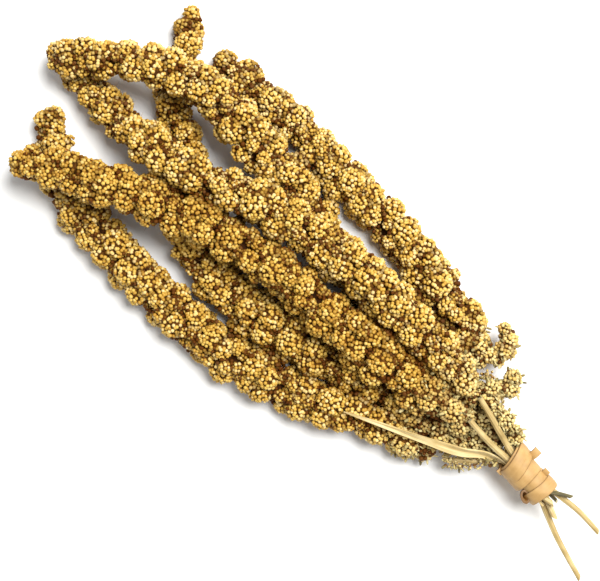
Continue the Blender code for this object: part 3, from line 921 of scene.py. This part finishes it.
def tie_band(material, painted_inside_shade):
    """The rubber band: one long strip wound round the stems, a slack loop in it that is dark inside with painted
    shade, and its ends tucked in
    """
    pieces = [bent_strip("tie_band", 12, 70 * len(TIE_TURNS), wound_place, material)]
    for along, side, up, length, width, roll in TIE_FLAPS:
        turn = math.radians(roll)

        def flap_place(across, share):
            out = (share - 0.5) * width
            bow = 0.5 * math.sin(math.pi * share) - 0.25
            aside = out * math.cos(turn) - bow * math.sin(turn)
            return tie_place(
                along + (across - 0.5) * length + 0.2 * math.sin(3 * share), side + aside,
                up + out * math.sin(turn) + bow * math.cos(turn),
            )

        pieces.append(bent_strip("flap", 6, 8, flap_place, material))
    along, side, up, length, width, height, degrees = TIE_LOOP

    def loop_place(across, share):
        turn = 2 * math.pi * share
        rim = BAND_THICKNESS / 2
        oval = Vector(((length / 2 - rim) * math.cos(turn), (width / 2 - rim) * math.sin(turn), 0))
        oval = Matrix.Rotation(math.radians(degrees), 3, "Z") @ oval
        oval *= float(np.interp(across, [0, 0.5, 1], [0.08, 0.85, 1]))
        return tie_place(along + oval.x, side + oval.y, up + (across - 0.5) * height)

    loop = bent_strip("loop", 8, 40, loop_place, material)
    select_only(loop)
    bpy.ops.object.mode_set(mode="EDIT")
    bpy.ops.mesh.select_all(action="SELECT")
    bpy.ops.mesh.remove_doubles(threshold=0.01 * MM)
    bpy.ops.object.mode_set(mode="OBJECT")
    # Painted shade: the inside of the deep loop takes the dark rubber
    loop.data.materials.append(painted_inside_shade)
    for piece in [*pieces, loop]:
        wall = piece.modifiers.new("wall", "SOLIDIFY")
        wall.material_offset = 1 if piece == loop else 0
        wall.thickness = BAND_THICKNESS * MM
        wall.offset = 0
        soft = piece.modifiers.new("soft", "BEVEL")
        soft.width = 0.2 * MM
        soft.segments = 2
        soft.limit_method = "ANGLE"
        apply_all(piece)
    select_only(*pieces, loop)
    bpy.ops.object.join()
    band = bpy.context.object
    bpy.ops.object.mode_set(mode="EDIT")
    bpy.ops.mesh.select_all(action="SELECT")
    bpy.ops.mesh.normals_make_consistent(inside=False)
    bpy.ops.object.mode_set(mode="OBJECT")
    bpy.ops.object.shade_smooth_by_angle(angle=math.radians(40))
    return band


def studio():
    """A white table, a soft window to the upper right, a bright room and a camera that looks straight down"""
    bpy.ops.mesh.primitive_plane_add(size=TABLE_SIZE, location=(0, 0, 0))
    floor = bpy.context.object
    floor.name = "table"
    floor.data.materials.append(white_table())
    window = bpy.data.lights.new("window", "AREA")
    window.shape = "DISK"
    window.size = WINDOW_SIZE
    window.energy = WINDOW_POWER
    lamp = bpy.data.objects.new("window", window)
    lamp.location = WINDOW_PLACE
    lamp.rotation_euler = (Vector((0, 0, 0)) - lamp.location).to_track_quat("-Z", "Y").to_euler()
    bpy.context.collection.objects.link(lamp)
    world = bpy.data.worlds.new("room")
    world.use_nodes = True
    world.node_tree.nodes["Background"].inputs["Color"].default_value = (1, 1, 1, 1)
    world.node_tree.nodes["Background"].inputs["Strength"].default_value = ROOM_LIGHT
    bpy.context.scene.world = world
    lens = bpy.data.cameras.new("camera")
    lens.lens = CAMERA_LENS
    lens.sensor_width = 36
    camera = bpy.data.objects.new("camera", lens)
    camera.location = CAMERA_PLACE * MM
    camera.rotation_euler = (0, 0, CAMERA_TURN)
    bpy.context.collection.objects.link(camera)
    bpy.context.scene.camera = camera
    bpy.context.scene.view_settings.view_transform = "Standard"


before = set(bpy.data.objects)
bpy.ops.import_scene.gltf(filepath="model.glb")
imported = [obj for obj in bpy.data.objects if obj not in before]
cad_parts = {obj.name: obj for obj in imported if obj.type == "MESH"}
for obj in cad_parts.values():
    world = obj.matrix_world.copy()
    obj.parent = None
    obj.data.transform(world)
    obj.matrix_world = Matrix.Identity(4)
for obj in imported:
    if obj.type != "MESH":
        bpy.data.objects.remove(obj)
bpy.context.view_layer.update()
studio()
materials = {"seed": millet_seed(), "hair": millet_hair(), "husk": open_husk()}
# Partly painted shade: the chaff balls under the seeds and the near-black core are darkened so that the head
# looks deep between its seeds
materials["stalk"] = chaff_and_painted_shade("seed_stalk", "321A06", "6A4214")
materials["chaff"] = chaff_and_painted_shade("chaff_and_painted_shade", "140800", "3C1E06")
straw_stops = [(0, "7E6636"), (0.35, "A88E56"), (0.65, "C6AD74"), (1, "E0CE9C")]
olive_stops = [(0, "241F0C"), (0.4, "453C1A"), (0.75, "6E6230"), (1, "9A8A4C")]
leaf_stops = [(0, "A08550"), (0.35, "C4A96E"), (0.65, "D6C08A"), (1, "E6D7A8")]
straw = dry_straw("dry_straw", straw_stops, STRAW_FIBRES)
olive = dry_straw("dark_olive_straw", olive_stops, STRAW_FIBRES)
papery = dry_straw("dry_leaf", leaf_stops, LEAF_FIBRES)
pith = straw_pith()
shapes = {"seed": seed_shape(), "plain_seed": plain_seed_shape(), "lobe": lobe_shape()}
shapes.update(hair=hair_shape(), husk=husk_shape())
groups = {kind: spreading_group(shape) for kind, shape in shapes.items()}
ways = {name: stem_way(name) for name in HEADS}
leaf_way = Way(LEAF_ROUTE)
stalks = np.vstack([way.route for way in [*ways.values(), leaf_way]])
for head in HEADS:
    piece = seed_head(head, groups, materials, ways[head], stalks)
    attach(piece, "root")
    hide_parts(head + "_head")
for shape in shapes.values():
    bpy.data.objects.remove(shape)
for head in HEADS:
    piece = stem(head, ways[head], straw, pith, olive)
    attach(piece, "root")
    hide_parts(head + "_stem")
leaf = leaf_blade(leaf_way, papery)
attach(leaf, "root")
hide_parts("leaf_blade")
band = tie_band(
    tan_rubber("tan_rubber", [(0.45, "A8834C"), (0.65, "B58E55"), (0.9, "BF9A60")]),
    # Painted shade: dark rubber for the inside of the slack loop, so that its hollow looks deep
    tan_rubber("rubber_in_painted_shade", [(0.45, "2E1A08"), (0.65, "4A2E12"), (0.9, "6A4620")]),
)
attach(band, "root")
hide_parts("tie")
